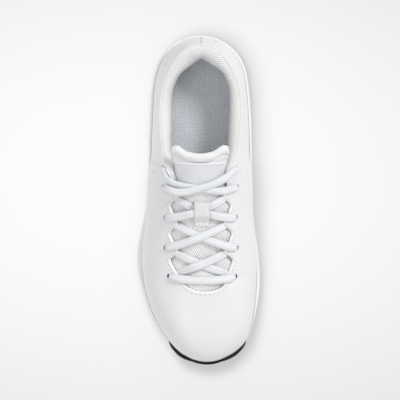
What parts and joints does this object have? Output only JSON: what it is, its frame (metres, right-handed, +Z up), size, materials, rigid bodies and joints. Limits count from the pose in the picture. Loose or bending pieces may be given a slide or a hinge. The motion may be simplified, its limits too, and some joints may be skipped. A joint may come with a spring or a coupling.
{
  "type": "softball cleat",
  "caption": "Low laced softball shoe: smooth white upper open at throat and collar, padded collar and tongue, flared midsole, black studded outsole with a toe bumper.",
  "frame": {"origin": "on the floor under the middle of the shoe, at the plane of the stud tips", "axes": "+Z up, toe to -Y and heel to +Y, big-toe (medial) side to +X"},
  "size_m": [0.1027, 0.2759, 0.112],
  "materials": {
    "rubber_black": "satin moulded rubber",
    "foam_white": "satin moulded foam skin",
    "textile_grey": "matt twill",
    "synthetic_white": "smooth satin synthetic",
    "mesh_white": "matt ribbed mesh",
    "label_white": "smooth woven patch",
    "webbing_white": "woven tape",
    "lace_white": "braided oval cord"
  },
  "bodies": {
    "root": {"outsole": "rubber_black", "midsole": "foam_white", "insole": "textile_grey", "upper": "synthetic_white", "collar_padding": "mesh_white", "tongue": "mesh_white", "tongue_label": "label_white", "lace_keeper": "webbing_white", "lace_bar": "lace_white", "lace_cross_1": "lace_white", "lace_cross_2": "lace_white", "lace_cross_3": "lace_white", "lace_cross_4": "lace_white"}
  },
  "joints": []
}
